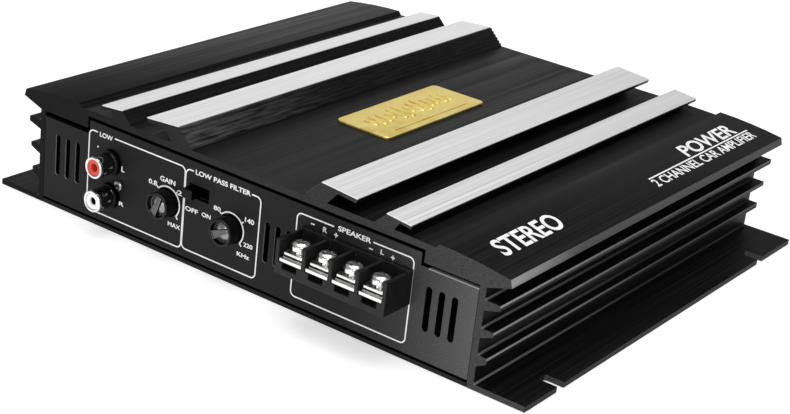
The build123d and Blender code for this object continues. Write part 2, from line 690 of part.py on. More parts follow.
# ---------------------------------------------------------------- the whole set
def all_parts():
    parts = {
        "heatsink_cover": heatsink_cover(),
        "wide_trim_strips": trim_strips(RIB_INNER),
        "narrow_trim_strips": trim_strips(RIB_OUTER),
        "badge_plate": badge_plate(),
        "base_cover": base_cover(),
        "base_screws": base_screws(),
        "front_panel": front_panel(),
        "rear_panel": rear_panel(),
        "board_standoffs": standoffs(),
        "board_screws": board_screws(),
        "circuit_board": circuit_board(),
        "jack_housing": jack_housing(),
        "jack_shells": jack_shells(),
        "jack_insulator_left": jack_insulator(JACK_Z[0]),
        "jack_insulator_right": jack_insulator(JACK_Z[1]),
        "jack_contacts": jack_contacts(),
        "jack_screw": jack_screw(),
        "pot_bodies": group([pot_body(GAIN_X), pot_body(LOWPASS_X)]),
        "gain_pot_shaft": pot_shaft(GAIN_X),
        "gain_knob": knob(GAIN_X, 25),
        "lowpass_pot_shaft": pot_shaft(LOWPASS_X),
        "lowpass_knob": knob(LOWPASS_X, 62),
        "filter_switch_body": switch_body(),
        "filter_switch_slider": switch_slider(),
        "speaker_terminal_block": terminal_block(SPEAKER_STATIONS),
        "speaker_contact_plates": contact_plates(SPEAKER_STATIONS),
        "power_terminal_block": turned(terminal_block(POWER_STATIONS)),
        "power_contact_plates": turned(contact_plates(POWER_STATIONS)),
        "fuse_holder": fuse_holder(),
        "power_light": power_light(),
        "insulating_pads": insulating_pads(),
        "output_transistors": output_transistors(),
        "transistor_bars": group([clamp_bar(-1), clamp_bar(1)]),
        "bar_screws": bar_screws(),
        "toroid_core": toroid_core(),
        "toroid_winding": toroid_winding(),
        "reservoir_capacitors": reservoir_capacitors(),
        "small_capacitors": small_capacitors(),
        "output_chokes": output_chokes(),
        "integrated_circuits": integrated_circuits(),
        "switching_transistors": switching_transistors(),
        "transistor_bracket": transistor_bracket(),
    }
    for number in range(SPEAKER_STATIONS):
        parts[f"speaker_clamp_{number + 1}"] = wire_clamp(number)
        parts[f"speaker_screw_{number + 1}"] = terminal_screw(number)
    for number in range(POWER_STATIONS):
        parts[f"power_clamp_{number + 1}"] = turned(wire_clamp(number))
        parts[f"power_screw_{number + 1}"] = turned(terminal_screw(number))
    for number in range(2):
        parts[f"fuse_cap_{number + 1}"] = fuse_cap(number)
        parts[f"fuse_blades_{number + 1}"] = fuse_blades(number)
    return parts


os.makedirs("parts", exist_ok=True)
for name, shape in all_parts().items():
    export_step(shape, f"parts/{name}.step")
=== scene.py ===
"""Looks of the car amplifier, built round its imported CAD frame. Metres, or mm where MM scales them."""
import json
import math

import bmesh
import bpy
from mathutils import Matrix, Vector


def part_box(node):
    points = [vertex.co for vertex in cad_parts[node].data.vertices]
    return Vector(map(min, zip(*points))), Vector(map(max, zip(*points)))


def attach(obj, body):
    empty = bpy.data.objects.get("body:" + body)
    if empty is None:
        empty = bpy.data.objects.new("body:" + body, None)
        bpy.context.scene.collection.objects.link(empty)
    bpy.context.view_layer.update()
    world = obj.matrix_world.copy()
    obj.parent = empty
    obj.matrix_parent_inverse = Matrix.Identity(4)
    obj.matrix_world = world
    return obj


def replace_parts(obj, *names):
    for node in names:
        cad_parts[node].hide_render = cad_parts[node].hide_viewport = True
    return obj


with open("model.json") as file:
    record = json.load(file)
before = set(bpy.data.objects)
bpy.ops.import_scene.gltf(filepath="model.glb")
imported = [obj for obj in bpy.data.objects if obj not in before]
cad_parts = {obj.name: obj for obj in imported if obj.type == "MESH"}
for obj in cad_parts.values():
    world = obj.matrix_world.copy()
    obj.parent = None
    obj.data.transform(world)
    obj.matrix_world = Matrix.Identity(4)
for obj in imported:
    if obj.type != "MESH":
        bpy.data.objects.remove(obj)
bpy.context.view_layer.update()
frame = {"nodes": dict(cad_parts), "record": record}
MM = 0.001

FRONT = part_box("front_panel")[0].y / MM
INK = 0.05                      # thickness of printed ink
KNOB_Z = 20.9
GAIN_X = -36.1
LOWPASS_X = -5.5


# ---------------------------------------------------------------- materials
def grey(level):
    return (level, level, level)


class Paint:
    """A node material, with short calls for the nodes it is made of."""

    def __init__(self, name, colour, metallic=0.0, roughness=0.5, **more):
        self.material = bpy.data.materials.new(name)
        self.material.use_nodes = True
        self.tree = self.material.node_tree
        self.shader = self.tree.nodes["Principled BSDF"]
        self.set("Base Color", (*colour, 1.0))
        self.set("Metallic", metallic)
        self.set("Roughness", roughness)
        for socket, value in more.items():
            self.set(socket.replace("_", " "), value)
        self.place = self.add("ShaderNodeTexCoord").outputs["Object"]

    def set(self, socket, value):
        self.feed(self.shader, socket, value)

    def feed(self, node, socket, value):
        if isinstance(value, bpy.types.NodeSocket):
            self.tree.links.new(value, node.inputs[socket])
        else:
            node.inputs[socket].default_value = value

    def add(self, kind, inputs=(), **settings):
        node = self.tree.nodes.new(kind)
        for key, value in settings.items():
            setattr(node, key, value)
        for socket, value in dict(inputs).items():
            self.feed(node, socket, value)
        return node

    def axes(self, vector):
        """The three sockets of a vector."""
        return self.add("ShaderNodeSeparateXYZ", {0: vector}).outputs

    def facing(self, kind="Normal"):
        return self.axes(self.add("ShaderNodeNewGeometry").outputs[kind])

    def math(self, operation, a, b=0.0, c=0.0):
        return self.add("ShaderNodeMath", {0: a, 1: b, 2: c}, operation=operation).outputs[0]

    def plus(self, a, b):
        return self.math("ADD", a, b)

    def times(self, first, *others):
        for other in others:
            first = self.math("MULTIPLY", first, other)
        return first

    def most(self, first, *others):
        for other in others:
            first = self.math("MAXIMUM", first, other)
        return first

    def size(self, value):
        return self.math("ABSOLUTE", value)

    def over(self, value, limit):
        """1 where a length is over limit, in mm, and 0 elsewhere. The next two work the same way."""
        return self.math("GREATER_THAN", value, limit * MM)

    def under(self, value, limit):
        return self.math("LESS_THAN", value, limit * MM)

    def near(self, value, centre, reach):
        return self.math("COMPARE", value, centre * MM, reach * MM)

    def noise(self, per_metre, detail=3.0, roughness=0.55):
        """Noise whose scale may differ along X, Y and Z, counted in features per metre."""
        mapping = self.add("ShaderNodeMapping", {"Vector": self.place, "Scale": per_metre})
        inputs = {"Vector": mapping.outputs[0], "Scale": 1.0, "Detail": detail, "Roughness": roughness}
        return self.add("ShaderNodeTexNoise", inputs).outputs["Fac"]

    def span(self, value, low, high, start=0.3, end=0.7):
        """value between start and end, carried to low and high."""
        inputs = {"Value": value, "From Min": start, "From Max": end, "To Min": low, "To Max": high}
        return self.add("ShaderNodeMapRange", inputs).outputs[0]

    def fade(self, value, low, high, start, end):
        """As span, for a length between start and end in mm."""
        return self.span(value, low, high, start * MM, end * MM)

    def pick(self, mask, off, on):
        """off where the mask is 0, on where it is 1."""
        return self.span(mask, off, on, 0.0, 1.0)

    def mix(self, factor, a, b):
        node = self.add("ShaderNodeMix", data_type="RGBA")
        self.feed(node, 0, factor)
        for socket, value in ((6, a), (7, b)):
            self.feed(node, socket, value if isinstance(value, bpy.types.NodeSocket) else (*value, 1.0))
        return node.outputs[2]

    def mottle(self, noise, dark, light):
        """Two colours, shared out by a noise."""
        return self.mix(self.span(noise, 0.0, 1.0), dark, light)

    def bump(self, height, strength, distance):
        node = self.add("ShaderNodeBump", {"Height": height, "Strength": strength, "Distance": distance})
        self.set("Normal", node.outputs[0])


def along_y(paint, fine=1500.0, coarse=260.0):
    """Fine and coarse streaks of metal that was drawn or brushed along Y."""
    thin = paint.noise((fine, 7.0, fine), detail=2.0)
    broad = paint.noise((coarse, 3.0, coarse), detail=2.0)
    return thin, broad


FIN_TOPS = (33.0, 22.8, 13.0)           # upper corners of the fin tips
ROOT_LINES = (33.1, 22.9, 13.1, 2.1)    # where the fins and the flange leave the side wall
NOSE_LOW = 40.0                         # the shoulders' outer edge is above this
SIDE_WALL_X = 102.55
FIN_TIPS_X = 105.0
RIDGED_SLOPE = (29.3, 3.9)              # the inner ribs' ridged side: distance from the middle, half width
RIDGED_LOW = 44.8


def anodised_paint():
    """Black anodised extrusion: streaked along its length, saw marks and painted light from the right on its
    ends, painted highlight lines on fin tips, fin roots and shoulder edges.
    """
    paint = Paint("black_anodised", grey(0.008), roughness=0.42, Specular_IOR_Level=0.07)
    thin, broad = along_y(paint)
    x, y, z = paint.axes(paint.place)
    normal = paint.facing("True Normal")
    from_middle = paint.size(x)

    plain = paint.mottle(thin, grey(0.002), grey(0.009))
    ripples = paint.span(paint.noise((900, 90, 900)), 0.0, 1.0)
    ripples = paint.times(ripples, paint.fade(y, 1.0, 0.1, FRONT, -15.0))
    ridged = paint.times(paint.near(from_middle, *RIDGED_SLOPE), paint.over(z, RIDGED_LOW))
    drawn = paint.mix(ridged, plain, paint.mix(ripples, grey(0.004), grey(0.085)))

    # Painted highlights: light lines along the shoulders' outer edges, the upper corners of the fin tips and
    # the fin roots, strongest at the front.
    nose = paint.over(z, NOSE_LOW)
    tips = paint.most(nose, *(paint.near(z, top - 0.35, 0.60) for top in FIN_TOPS))
    sideways = paint.math("GREATER_THAN", paint.size(normal[0]), 0.45)
    tips = paint.times(tips, sideways, paint.over(from_middle, FIN_TIPS_X))
    roots = paint.most(*(paint.near(z, level, 0.40) for level in ROOT_LINES))
    roots = paint.times(roots, paint.near(from_middle, SIDE_WALL_X, 0.45))
    patchy = paint.span(broad, 0.7, 1.1)
    fin_highlight_fade = paint.times(paint.fade(y, 1.0, 0.22, FRONT, 10.0), patchy)
    nose_highlight_fade = paint.times(paint.fade(y, 1.1, 0.22, FRONT, -60.0), patchy)
    painted_highlight = paint.mix(paint.pick(nose, fin_highlight_fade, nose_highlight_fade), grey(0.006), grey(0.26))
    black = paint.mix(paint.most(tips, roots), drawn, painted_highlight)

    # Painted light: the end faces grow lighter towards plus x, as if lit from the right; the noise gives the
    # saw marks.
    saw_marks_and_side_light = paint.times(paint.fade(x, 0.04, 1.0, -90.0, 100.0), paint.noise((700, 700, 2600)))
    sawn_and_side_lit = paint.mix(saw_marks_and_side_light, grey(0.002), grey(0.092))
    endways = paint.math("GREATER_THAN", paint.size(normal[1]), 0.75)
    paint.set("Base Color", paint.mix(endways, black, sawn_and_side_lit))
    paint.set("Roughness", paint.plus(paint.span(thin, 0.34, 0.52), paint.span(broad, -0.05, 0.05)))
    paint.bump(paint.plus(thin, paint.times(broad, 0.6)), 0.45, 0.00005)
    return paint.material


BASE_TOP = 1.6                  # the base sheet is under this, the panels above
FRONT_SHEET_Y = -100.0          # of all sheets, only the front panel's is in front of this
PANEL_FACE_Y = 101.42           # the panels' faces are farther out than this, their cut edges are not
RIM_Y = 100.95                  # the outer half of those cut edges starts here
PANEL_SIDE_TOP = 36.1           # top of the panels' lower ends
PANEL_MIDDLE_TOP = 40.7


def powder_paint():
    """Fine-texture black powder coat on the panels and the base.

    Painted light: the front panel is lighter towards the right. Cut edges and the panels' tops under the
    extrusion are near black as painted shade, but for painted highlights on the outer rims of two groups of
    vents and on the panels' top edge at the plus x end.
    """
    paint = Paint("black_sheet", grey(0.012), roughness=0.5, Specular_IOR_Level=0.12)
    grain = paint.noise((2600,) * 3, detail=2.0)
    cloud = paint.noise((60,) * 3)
    x, y, z = paint.axes(paint.place)
    from_middle = paint.size(y)
    on_panel = paint.over(z, BASE_TOP)

    # Painted light: the front panel grows lighter towards plus x, as if lit from the right.
    right_side_glow = paint.math("POWER", paint.fade(x, 0.0, 1.0, 30.0, 100.0), 2.0)
    right_side_glow = paint.times(right_side_glow, paint.under(y, FRONT_SHEET_Y), on_panel)
    plain_sheet = paint.mottle(grain, grey(0.005), grey(0.017))
    sheet = paint.mix(right_side_glow, plain_sheet, paint.mottle(grain, grey(0.050), grey(0.115)))

    # Painted shade: the panels' cut edges, as in the vents, are near black with almost no shine.
    cut = paint.times(paint.under(from_middle, PANEL_FACE_Y), on_panel)
    # Painted highlight: the outer half of the cut rims in two groups of vents is lighter.
    vents = paint.most(paint.near(x, 17.0, 8.0), paint.under(x, -80.0))
    vent_rim_highlights = paint.times(vents, paint.near(z, 19.0, 15.0), paint.over(from_middle, RIM_Y))
    sheet = paint.mix(cut, sheet, paint.mix(vent_rim_highlights, grey(0.001), grey(0.20)))

    # Painted shade: the panels' tops just under the extrusion are near black.
    shaded_tops = paint.times(paint.near(z, PANEL_SIDE_TOP, 0.8), paint.under(x, -76.0))
    shaded_tops = paint.most(shaded_tops, paint.over(z, PANEL_MIDDLE_TOP))
    sheet = paint.mix(shaded_tops, sheet, grey(0.0005))
    # Painted highlight: a light line along the panels' top edge at the plus x end.
    top_edge_highlight = paint.times(paint.near(z, PANEL_SIDE_TOP, 0.42), paint.over(x, 79.5))
    paint.set("Base Color", paint.mix(top_edge_highlight, sheet, grey(0.24)))
    paint.set("Specular IOR Level", paint.pick(paint.most(cut, shaded_tops), 0.12, 0.01))
    paint.set("Roughness", paint.plus(paint.span(grain, 0.48, 0.62), paint.span(cloud, -0.04, 0.04)))
    paint.bump(grain, 0.5, 0.00006)
    return paint.material


def brushed_paint():
    """Bright aluminium, brushed along its length."""
    paint = Paint("brushed_aluminium", (0.86, 0.86, 0.87), metallic=0.55, roughness=0.40)
    thin, broad = along_y(paint, 3600.0, 700.0)
    paint.set("Base Color", paint.mottle(thin, grey(0.70), grey(0.88)))
    paint.set("Roughness", paint.plus(paint.span(thin, 0.34, 0.52), paint.span(broad, -0.04, 0.06)))
    paint.bump(thin, 0.30, 0.00003)
    return paint.material


def gold_paint():
    """Bright gold plate with a soft mottle."""
    paint = Paint("gold_plate", (0.90, 0.74, 0.42), metallic=1.0, roughness=0.4)
    patches = paint.noise((190, 120, 190), detail=4.0, roughness=0.7)
    grain = paint.noise((1500,) * 3, detail=2.0)
    paint.set("Base Color", paint.mottle(patches, (1.00, 0.72, 0.13), (1.00, 0.88, 0.36)))
    paint.set("Roughness", paint.span(patches, 0.32, 0.50))
    paint.bump(paint.plus(patches, paint.times(grain, 0.25)), 0.30, 0.00030)
    return paint.material


def metal_paint(name, light, dark, roughness):
    """Plated or bare metal with a little variation."""
    paint = Paint(name, light, metallic=1.0, roughness=roughness)
    grain = paint.noise((900,) * 3, detail=3.0)
    cloud = paint.noise((220,) * 3)
    paint.set("Base Color", paint.mottle(cloud, dark, light))
    paint.set("Roughness", paint.span(grain, roughness * 0.7, roughness * 1.3))
    paint.bump(grain, 0.12, 0.00003)
    return paint.material


def plastic_paint(name, colour, roughness, bump=0.2, spread=0.35, level=0.5):
    """Moulded plastic: fine grain, faint cloudiness."""
    paint = Paint(name, colour, roughness=roughness, Specular_IOR_Level=level)
    grain = paint.noise((1800,) * 3, detail=2.0)
    cloud = paint.noise((240,) * 3)
    light = tuple(min(1.0, part * (1 + spread) + 0.002) for part in colour)
    dark = tuple(part * (1 - spread * 0.6) for part in colour)
    paint.set("Base Color", paint.mottle(cloud, dark, light))
    paint.set("Roughness", paint.span(grain, roughness * 0.8, roughness * 1.2))
    paint.bump(grain, bump, 0.00004)
    return paint.material


def block_paint():
    """Black moulded plastic; faces not turned to the front are painted near black and dull as painted shade.
    """
    paint = Paint("black_plastic", grey(0.003), roughness=0.45)
    front = paint.math("LESS_THAN", paint.facing()[1], -0.6)
    grain = paint.noise((1800,) * 3, detail=2.0)
    # Painted shade: faces not turned to the front are near black with almost no shine.
    paint.set("Base Color", paint.mix(front, grey(0.001), paint.mottle(grain, grey(0.002), grey(0.006))))
    paint.set("Specular IOR Level", paint.pick(front, 0.012, 0.12))
    paint.set("Roughness", paint.span(grain, 0.36, 0.54))
    paint.bump(grain, 0.2, 0.00004)
    return paint.material


def board_paint():
    """Green solder resist over copper, seen as lighter tracks."""
    paint = Paint("board_green", (0.02, 0.10, 0.04), roughness=0.35)
    cells = paint.add("ShaderNodeTexVoronoi", {"Vector": paint.place, "Scale": 210.0}, distance="CHEBYCHEV")
    tracks = paint.math("GREATER_THAN", cells.outputs["Distance"], 0.42)
    paint.set("Base Color", paint.mix(tracks, (0.010, 0.070, 0.028), (0.035, 0.16, 0.06)))
    paint.bump(tracks, 0.2, 0.00004)
    return paint.material


def lens_paint(name, colour, clear=0.6):
    """Tinted clear plastic."""
    roughness = 0.12
    paint = Paint(name, colour, roughness=roughness, Transmission_Weight=clear, IOR=1.49)
    haze = paint.noise((500,) * 3)
    paint.set("Roughness", paint.span(haze, roughness * 0.7, roughness * 1.6))
    return paint.material


def winding_paint(name, colour):
    """Enamelled wire: a fine grain that mottles the colour and bumps the surface."""
    paint = Paint(name, colour, metallic=0.7, roughness=0.32)
    grain = paint.noise((900,) * 3, detail=1.0)
    paint.set("Base Color", paint.mottle(grain, tuple(part * 0.5 for part in colour), colour))
    paint.bump(grain, 0.4, 0.0001)
    return paint.material


KNOB_FACE_R = 4.1               # the knob's face inside its rim
DISH_SLOPE = (-0.93, 0.045)     # the dished part of the face, by how far it faces the front


def knob_paint():
    """Black knob: side painted near black and dull as painted shade, faintly shining rim, glossy grip in a
    bright dish.
    """
    paint = Paint("knob_plastic", grey(0.03), roughness=0.2)
    grain = paint.noise((1800,) * 3, detail=2.0)
    x, _, z = paint.axes(paint.place)
    forward = paint.facing()[1]
    off_gain, off_lowpass = (paint.size(paint.math("SUBTRACT", x, at * MM)) for at in (GAIN_X, LOWPASS_X))
    across = paint.math("MINIMUM", off_gain, off_lowpass)
    up = paint.math("SUBTRACT", z, KNOB_Z * MM)
    radius = paint.math("SQRT", paint.plus(paint.times(across, across), paint.times(up, up)))
    inside = paint.under(radius, KNOB_FACE_R)

    front = paint.math("LESS_THAN", forward, -0.25)
    rim = paint.times(front, paint.math("SUBTRACT", 1.0, inside))
    face = paint.times(front, inside)
    dish = paint.times(paint.math("COMPARE", forward, *DISH_SLOPE), inside)
    # Painted shade: the side is near black and barely shines.
    paint.set("Base Color", paint.mix(dish, paint.mix(face, grey(0.002), grey(0.040)), grey(0.27)))
    paint.set("Metallic", paint.times(dish, 0.85))
    paint.set("Specular IOR Level", paint.pick(paint.most(face, paint.times(rim, 0.32)), 0.06, 0.9))
    paint.set("Roughness", paint.plus(paint.pick(face, 0.5, 0.27), paint.span(grain, -0.02, 0.03)))
    return paint.material


PAINTS = {
    "black_anodised": anodised_paint(),
    "black_sheet": powder_paint(),
    "brushed_aluminium": brushed_paint(),
    "gold_plate": gold_paint(),
    "nickel": metal_paint("nickel", (0.90, 0.89, 0.87), (0.74, 0.74, 0.73), 0.24),
    "bright_steel": metal_paint("bright_steel", (0.70, 0.70, 0.69), grey(0.52), 0.32),
    "black_screw": metal_paint("black_screw", grey(0.08), grey(0.04), 0.38),
    "black_plastic": block_paint(),
    "black_gloss_plastic": plastic_paint("black_gloss_plastic", grey(0.006), 0.34, bump=0.12, level=0.25),
    "knob_plastic": knob_paint(),
    "red_plastic": plastic_paint("red_plastic", (0.60, 0.048, 0.026), 0.28, bump=0.08, spread=0.15),
    "white_plastic": plastic_paint("white_plastic", (0.86, 0.86, 0.85), 0.30, bump=0.08, spread=0.06),
    "red_lens": lens_paint("red_lens", (0.75, 0.03, 0.02)),
    "fuse_amber": lens_paint("fuse_amber", (0.85, 0.36, 0.05), clear=0.75),
    "board_green": board_paint(),
    "grey_pad": plastic_paint("grey_pad", (0.40, 0.41, 0.43), 0.7),
    "ferrite": plastic_paint("ferrite", (0.05, 0.055, 0.05), 0.6),
    "copper": winding_paint("copper", (0.75, 0.32, 0.12)),
    "capacitor_sleeve": plastic_paint("capacitor_sleeve", (0.012, 0.020, 0.060), 0.3, bump=0.05),
}
INK_WHITE = plastic_paint("ink_white", grey(0.80), 0.5, bump=0.1, spread=0.08)
# Painted shade: a near black copy of steel for the filter switch's case, which lies in shade behind its
# window.
STEEL_PAINTED_SHADE = metal_paint("steel_painted_shade", grey(0.05), grey(0.03), 0.5)
# Painted reflection: a darker copy of nickel for the jack barrels and the jack screw, standing in for dark
# surroundings they mirror.
NICKEL_PAINTED_DARK = metal_paint("nickel_painted_dark", grey(0.34), grey(0.18), 0.14)

SLOT_OF = {row["node"]: row["material_slot"] for row in frame["record"]["subparts"]}
# The filter switch's case takes the painted-shade steel.
OWN_LOOK = {"filter_switch_body": STEEL_PAINTED_SHADE}


def dress_cad_nodes():
    """Every CAD node gets its slot's material, or a look of its own."""
    for name, obj in frame["nodes"].items():
        obj.data.materials.clear()
        obj.data.materials.append(OWN_LOOK.get(name) or PAINTS[SLOT_OF[name]])


# ---------------------------------------------------------------- mesh helpers
UPRIGHT = Matrix.Identity(4)
SMOOTH_UP_TO = math.radians(35)         # edges flatter than this are shaded smooth


def linked(name, data):
    obj = bpy.data.objects.new(name, data)
    bpy.context.scene.collection.objects.link(obj)
    return obj


def new_object(name, mesh, slot, body, material):
    obj = linked(name, mesh)
    mesh.materials.clear()
    mesh.materials.append(material or PAINTS[slot])
    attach(obj, body)
    return obj


def from_bmesh(name, bm, slot, body="root", material=None):
    """A visible piece from a bmesh, which is used up. A material given here stands in for the slot's."""
    bmesh.ops.recalc_face_normals(bm, faces=bm.faces)
    for face in bm.faces:
        face.smooth = True
    for edge in bm.edges:
        edge.smooth = edge.calc_face_angle(0.0) < SMOOTH_UP_TO
    mesh = bpy.data.meshes.new(name)
    bm.to_mesh(mesh)
    bm.free()
    return new_object(name, mesh, slot, body, material)


def axis_matrix(origin, axis):
    """Local Z along axis, at origin (mm), scaled so that local coordinates are in mm."""
    z = Vector(axis).normalized()
    x = Vector((0, 0, 1)).cross(z)
    if x.length < 1e-6:
        x = Vector((1, 0, 0))
    x.normalize()
    y = z.cross(x)
    turn = Matrix((x, y, z)).transposed().to_4x4()
    return Matrix.Translation(Vector(origin) * MM) @ turn @ Matrix.Scale(MM, 4)


def lathe(bm, profile, matrix, segments=48, closed=False):
    """Adds a turned shape: profile is a list of (radius, height) in mm about local Z."""
    turn = 2 * math.pi / segments
    rings = []
    for radius, height in profile:
        if radius < 1e-6:
            rings.append([bm.verts.new(matrix @ Vector((0, 0, height)))])
            continue
        ring = []
        for step in range(segments):
            point = (radius * math.cos(turn * step), radius * math.sin(turn * step), height)
            ring.append(bm.verts.new(matrix @ Vector(point)))
        rings.append(ring)
    pairs = list(zip(rings, rings[1:]))
    if closed:
        pairs.append((rings[-1], rings[0]))
    for low, high in pairs:
        for step in range(segments):
            after = (step + 1) % segments
            corners = [low[step % len(low)], low[after % len(low)]]
            corners += [high[after % len(high)], high[step % len(high)]]
            unique = list(dict.fromkeys(corners))
            if len(unique) > 2:
                bm.faces.new(unique)


def loft(bm, outlines, matrix):
    """Adds a solid whose rings are lists of (x, y, z) in mm with the same number of points."""
    rings = [[bm.verts.new(matrix @ Vector(point)) for point in outline] for outline in outlines]
    count = len(rings[0])
    for low, high in zip(rings, rings[1:]):
        for step in range(count):
            after = (step + 1) % count
            bm.faces.new((low[step], low[after], high[after], high[step]))
    bm.faces.new(rings[0][::-1])
    bm.faces.new(rings[-1])


def rounded_outline(half_x, half_y, radius, steps=6):
    """Points of a rectangle with round corners, centred, counter-clockwise."""
    points = []
    for turn, (sx, sy) in enumerate(((1, 1), (-1, 1), (-1, -1), (1, -1))):
        for step in range(steps + 1):
            angle = math.pi / 2 * (turn + step / steps)
            x = sx * (half_x - radius) + radius * math.cos(angle)
            y = sy * (half_y - radius) + radius * math.sin(angle)
            points.append((x, y))
    return points


def rounded_polygon(corners, radius, steps=5):
    """A polygon with its corners rounded."""
    points = []
    for index, corner in enumerate(corners):
        here = Vector(corner)
        before = Vector(corners[index - 1]) - here
        after = Vector(corners[(index + 1) % len(corners)]) - here
        half = before.angle(after) / 2
        reach = min(radius / math.tan(half), before.length * 0.49, after.length * 0.49)
        start = here + before.normalized() * reach
        end = here + after.normalized() * reach
        for step in range(steps + 1):
            t = step / steps
            point = start * (1 - t) ** 2 + here * 2 * t * (1 - t) + end * t ** 2
            points.append((point.x, point.y))
    return points


def plate(bm, half_x, half_y, radius, low, high, crown, matrix=UPRIGHT):
    """A rectangular plate with round corners, whose upper edge is rounded by crown."""
    rings = []
    levels = [(0.0, low)]
    for step in range(5):
        angle = math.pi / 2 * step / 4
        levels.append((crown * (1 - math.cos(angle)), high - crown * (1 - math.sin(angle))))
    for inset, height in levels:
        outline = rounded_outline(half_x - inset, half_y - inset, max(0.05, radius - inset))
        rings.append([(x, y, height) for x, y in outline])
    loft(bm, rings, matrix)


def bar(bm, x0, x1, y0, y1, z0, z1):
    """A box."""
    corners = [(x1, y1), (x0, y1), (x0, y0), (x1, y0)]
    loft(bm, [[(x, y, height) for x, y in corners] for height in (z0, z1)], UPRIGHT)


def carved(solid, cutter):
    """The solid with the cutter taken out of it. Both are bmeshes in mm, and are used up."""
    holders = []
    for name, bm in (("solid", solid), ("cutter", cutter)):
        bmesh.ops.recalc_face_normals(bm, faces=bm.faces)
        mesh = bpy.data.meshes.new(name)
        bm.to_mesh(mesh)
        bm.free()
        holders.append(linked(name, mesh))
    change = holders[0].modifiers.new("cut", "BOOLEAN")
    change.operation, change.solver, change.object = "DIFFERENCE", "EXACT", holders[1]
    graph = bpy.context.evaluated_depsgraph_get()
    cut = bpy.data.meshes.new_from_object(holders[0].evaluated_get(graph))
    result = bmesh.new()
    result.from_mesh(cut)
    bpy.data.meshes.remove(cut)
    for holder in holders:
        mesh = holder.data
        bpy.data.objects.remove(holder)
        bpy.data.meshes.remove(mesh)
    return result


def place(bm, matrix):
    bmesh.ops.transform(bm, matrix=matrix, verts=bm.verts)


def box_mm(node):
    low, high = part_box(node)
    return low / MM, high / MM


def middle(node):
    low, high = box_mm(node)
    return (low + high) / 2


# ---------------------------------------------------------------- print
def panel_point(x, z, lift=0.0):
    """A point of the front panel's face, in mm, raised by lift."""
    return Vector((x, FRONT - lift, z))


def ribbon(bm, points, width, to_point):
    """A flat line of ink through 2-D points, with mitred corners and real thickness."""
    last = len(points) - 1
    lefts, rights = [], []
    for index, here in enumerate(points):
        before = points[max(index - 1, 0)]
        after = points[min(index + 1, last)]
        a = Vector((here[0] - before[0], here[1] - before[1]))
        b = Vector((after[0] - here[0], after[1] - here[1]))
        a = a.normalized() if a.length > 1e-9 else b.normalized()
        b = b.normalized() if b.length > 1e-9 else a
        bisector = (a + b).normalized()
        normal = Vector((-bisector.y, bisector.x))
        reach = width / 2 / max(0.5, bisector.dot(b))
        lefts.append((here[0] + normal.x * reach, here[1] + normal.y * reach))
        rights.append((here[0] - normal.x * reach, here[1] - normal.y * reach))
    layers = []
    for lift in (0.0, INK):
        for side in (lefts, rights):
            layers.append([bm.verts.new(to_point(x, z, lift) * MM) for x, z in side])
    low_left, low_right, high_left, high_right = layers
    for here in range(last):
        after = here + 1
        bm.faces.new((high_left[here], high_left[after], high_right[after], high_right[here]))
        bm.faces.new((low_left[after], low_left[here], low_right[here], low_right[after]))
        bm.faces.new((low_left[here], low_left[after], high_left[after], high_left[here]))
        bm.faces.new((low_right[after], low_right[here], high_right[here], high_right[after]))
    for end in (0, last):
        bm.faces.new((low_left[end], high_left[end], high_right[end], low_right[end]))


def arc_points(centre, radius, start, end, steps=28):
    """Angles in degrees, counted clockwise from up."""
    points = []
    for step in range(steps + 1):
        angle = math.radians(start + (end - start) * step / steps)
        points.append((centre[0] + radius * math.sin(angle), centre[1] + radius * math.cos(angle)))
    return points


def lettering(bm, text, x0, x1, z0, z1, to_point, slant=0.0, weight=0.0):
    """Text fitted to the box (x0..x1 by z0..z1) of a surface, as closed letters of ink."""
    curve = bpy.data.curves.new("letters", "FONT")
    curve.body = text
    curve.extrude = 0.05            # only tells the letters' two sides apart
    curve.offset = weight
    curve.shear = slant
    curve.resolution_u = 6
    holder = linked("letters", curve)
    graph = bpy.context.evaluated_depsgraph_get()
    mesh = bpy.data.meshes.new_from_object(holder.evaluated_get(graph))
    xs = [v.co.x for v in mesh.vertices]
    ys = [v.co.y for v in mesh.vertices]
    start = len(bm.verts)
    bm.from_mesh(mesh)
    bm.verts.ensure_lookup_table()
    for vert in bm.verts[start:]:
        across = x0 + (vert.co.x - min(xs)) / (max(xs) - min(xs)) * (x1 - x0)
        along = z0 + (vert.co.y - min(ys)) / (max(ys) - min(ys)) * (z1 - z0)
        vert.co = to_point(across, along, INK if vert.co.z > 0 else 0.0) * MM
    bpy.data.objects.remove(holder)
    bpy.data.curves.remove(curve)
    bpy.data.meshes.remove(mesh)


FRAME_LINE, DIAL_LINE, SIGN_LINE, RULE_LINE = 0.5, 0.55, 0.45, 0.7      # widths of printed lines
DIAL_R, TICK_R = 6.2, 7.5
DIAL_START, DIAL_END = -47, 131      # degrees clockwise from up


def frame_line(bm, x0, x1, z0, z1, gap, radius=2.0):
    """A box with round corners and a gap for its title in the top line, as one open line."""
    def corner(cx, cz, start):
        return arc_points((cx, cz), radius, start, start + 90, 6)
    points = [(gap[1], z1)]
    points += corner(x1 - radius, z1 - radius, 0)
    points += corner(x1 - radius, z0 + radius, 90)
    points += corner(x0 + radius, z0 + radius, 180)
    points += corner(x0 + radius, z1 - radius, 270)
    points.append((gap[0], z1))
    ribbon(bm, points, FRAME_LINE, panel_point)


